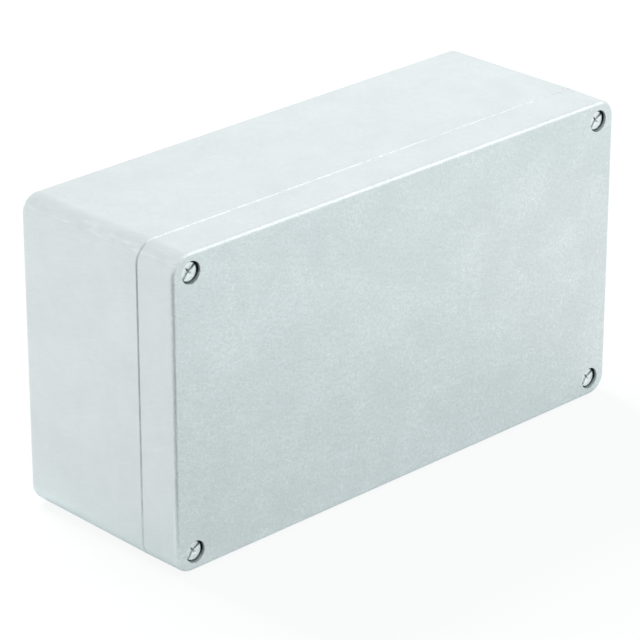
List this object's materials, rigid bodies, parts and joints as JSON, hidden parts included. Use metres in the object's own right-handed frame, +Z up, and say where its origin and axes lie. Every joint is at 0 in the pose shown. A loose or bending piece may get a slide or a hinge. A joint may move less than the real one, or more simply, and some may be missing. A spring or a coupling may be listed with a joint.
{
  "type": "die cast aluminium box",
  "caption": "Rectangular die cast aluminium enclosure with rounded corners, a deep base, a gasketed lid held by captive sunk corner screws, and wall mounting holes.",
  "frame": {"origin": "centre of the underside of the case as it stands on one long side", "axes": "+X along the length to the right as seen from the lid side, -Y out of the lid face, +Y out of the back, +Z up"},
  "size_m": [0.22, 0.08, 0.12],
  "materials": {
    "cast_aluminium": "bare tumbled die casting, satin, lightly mottled",
    "screw_steel": "bright stainless steel",
    "gasket_rubber": "matt black cellular rubber",
    "nylon": "natural nylon",
    "brass": "bright brass"
  },
  "bodies": {
    "base": {"base_casting": "cast_aluminium", "base_earth_screw": "brass", "base_earth_lock_washer": "screw_steel", "base_earth_clamp": "brass"},
    "lid": {"lid_casting": "cast_aluminium", "lid_gasket": "gasket_rubber", "lid_earth_screw": "brass", "lid_earth_lock_washer": "screw_steel", "lid_earth_clamp": "brass"},
    "ring_upper_left": {"retaining_ring_upper_left": "nylon"},
    "screw_upper_left": {"lid_screw_upper_left": "screw_steel"},
    "ring_upper_right": {"retaining_ring_upper_right": "nylon"},
    "screw_upper_right": {"lid_screw_upper_right": "screw_steel"},
    "ring_lower_left": {"retaining_ring_lower_left": "nylon"},
    "screw_lower_left": {"lid_screw_lower_left": "screw_steel"},
    "ring_lower_right": {"retaining_ring_lower_right": "nylon"},
    "screw_lower_right": {"lid_screw_lower_right": "screw_steel"}
  },
  "joints": [
    {"name": "lid_lift", "type": "slide", "parent": "base", "child": "lid", "axis": [0, -1, 0], "range_m": [0, 0.1]},
    {"name": "screw_upper_left_travel", "type": "slide", "parent": "lid", "child": "ring_upper_left", "axis": [0, -1, 0], "range_m": [0, 0.009]},
    {"name": "screw_upper_left_turn", "type": "hinge", "parent": "ring_upper_left", "child": "screw_upper_left", "pos_m": [-0.10125, -0.02, 0.1126], "axis": [0, -1, 0], "range_deg": [0, 4629]},
    {"name": "screw_upper_right_travel", "type": "slide", "parent": "lid", "child": "ring_upper_right", "axis": [0, -1, 0], "range_m": [0, 0.009]},
    {"name": "screw_upper_right_turn", "type": "hinge", "parent": "ring_upper_right", "child": "screw_upper_right", "pos_m": [0.10125, -0.02, 0.1126], "axis": [0, -1, 0], "range_deg": [0, 4629]},
    {"name": "screw_lower_left_travel", "type": "slide", "parent": "lid", "child": "ring_lower_left", "axis": [0, -1, 0], "range_m": [0, 0.009]},
    {"name": "screw_lower_left_turn", "type": "hinge", "parent": "ring_lower_left", "child": "screw_lower_left", "pos_m": [-0.10125, -0.02, 0.0074], "axis": [0, -1, 0], "range_deg": [0, 4629]},
    {"name": "screw_lower_right_travel", "type": "slide", "parent": "lid", "child": "ring_lower_right", "axis": [0, -1, 0], "range_m": [0, 0.009]},
    {"name": "screw_lower_right_turn", "type": "hinge", "parent": "ring_lower_right", "child": "screw_lower_right", "pos_m": [0.10125, -0.02, 0.0074], "axis": [0, -1, 0], "range_deg": [0, 4629]}
  ],
  "couplings": [
    {"joint": "screw_upper_left_turn", "follows": "screw_upper_left_travel", "rad_per_m": 8975.9},
    {"joint": "screw_upper_right_turn", "follows": "screw_upper_right_travel", "rad_per_m": 8975.9},
    {"joint": "screw_lower_left_turn", "follows": "screw_lower_left_travel", "rad_per_m": 8975.9},
    {"joint": "screw_lower_right_turn", "follows": "screw_lower_right_travel", "rad_per_m": 8975.9}
  ]
}
